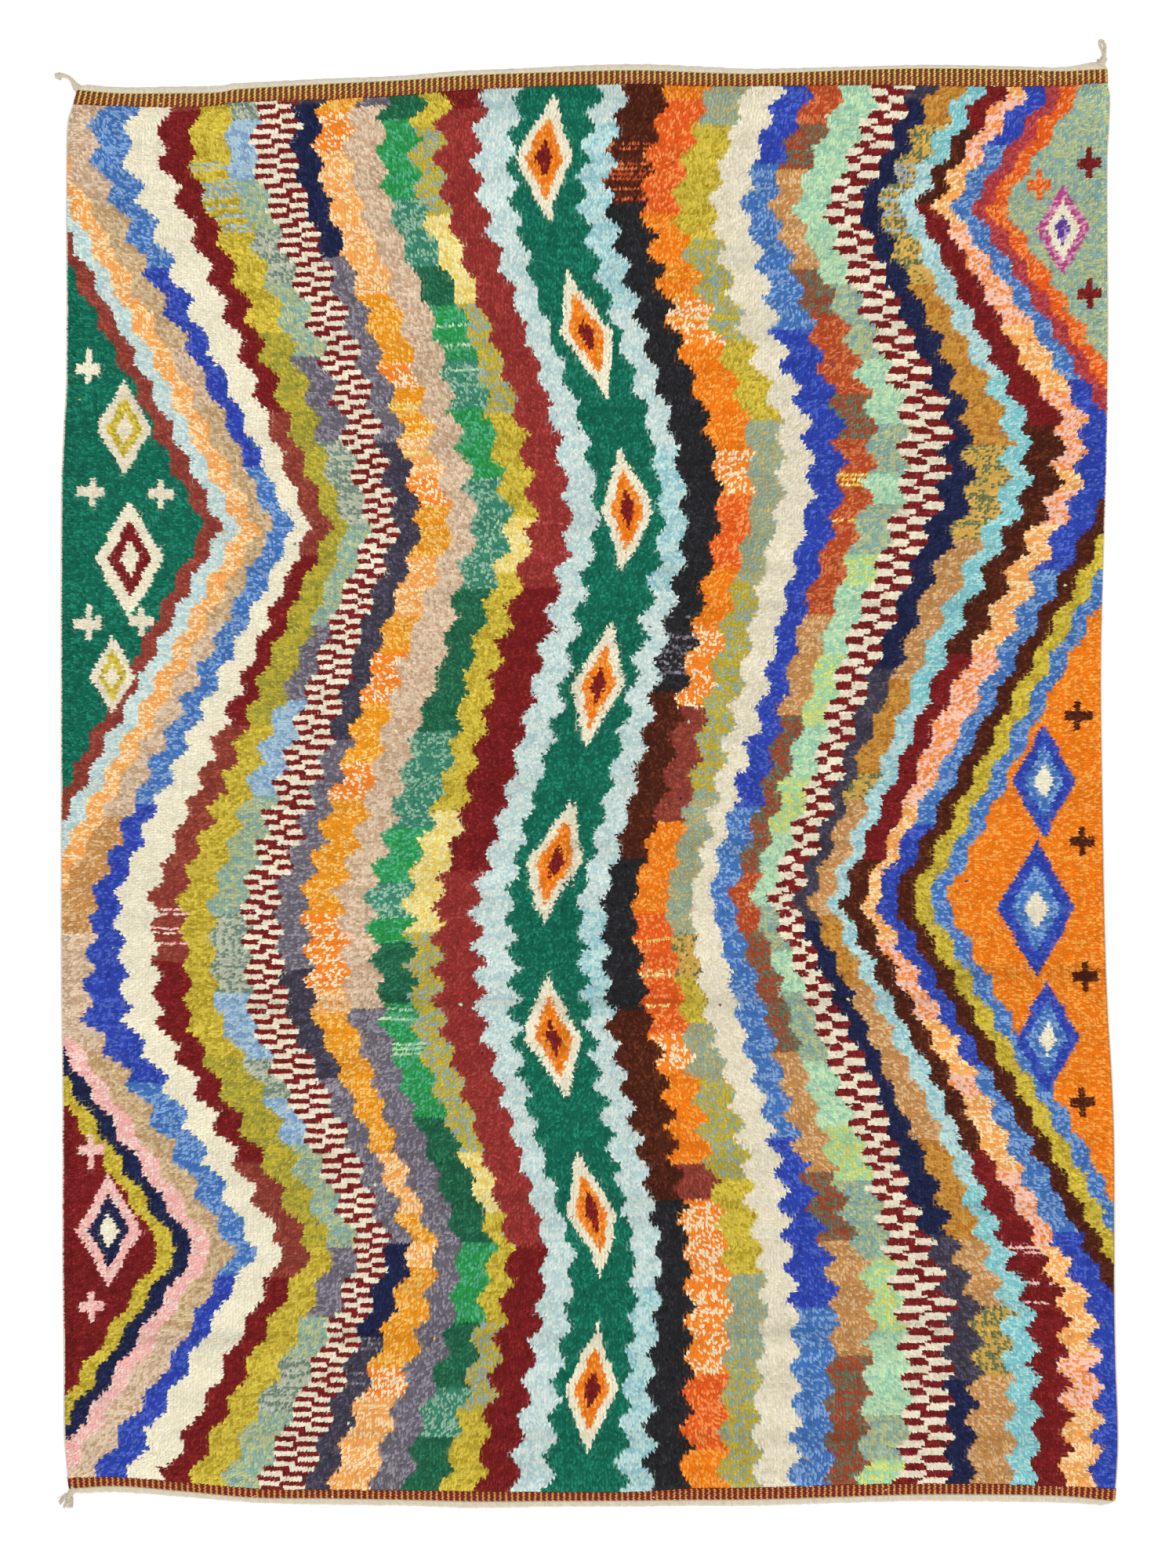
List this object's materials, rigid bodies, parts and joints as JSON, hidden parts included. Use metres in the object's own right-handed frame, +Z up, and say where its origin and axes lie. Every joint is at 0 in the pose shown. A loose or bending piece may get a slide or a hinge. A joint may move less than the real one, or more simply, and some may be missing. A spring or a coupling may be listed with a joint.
{
  "type": "berber rug",
  "caption": "Room-size hand-knotted wool pile rug lying flat, with two-colour flat-woven ends, cream headings and selvedges, and twisted corner tails.",
  "frame": {"origin": "on the floor, under the middle of the bounding box", "axes": "+X across the rug, +Y along its length towards the wider two-colour end, +Z up from the floor"},
  "size_m": [2.782, 3.8419, 0.0197],
  "materials": {
    "pile_wool": "matte knotted wool pile in many colours",
    "top_band_wool": "matte flat weave, brown red and olive yellow",
    "bottom_band_wool": "matte flat weave, crimson and gold",
    "cream_wool": "matte undyed wool, plain woven, overcast or twisted"
  },
  "bodies": {
    "root": {"pile_field": "pile_wool", "end_band_top": "top_band_wool", "end_band_bottom": "bottom_band_wool", "heading_top": "cream_wool", "heading_bottom": "cream_wool", "selvedge_left": "cream_wool", "selvedge_right": "cream_wool", "tail_top_left": "cream_wool", "tail_top_right": "cream_wool", "tail_bottom_left": "cream_wool"}
  },
  "joints": []
}
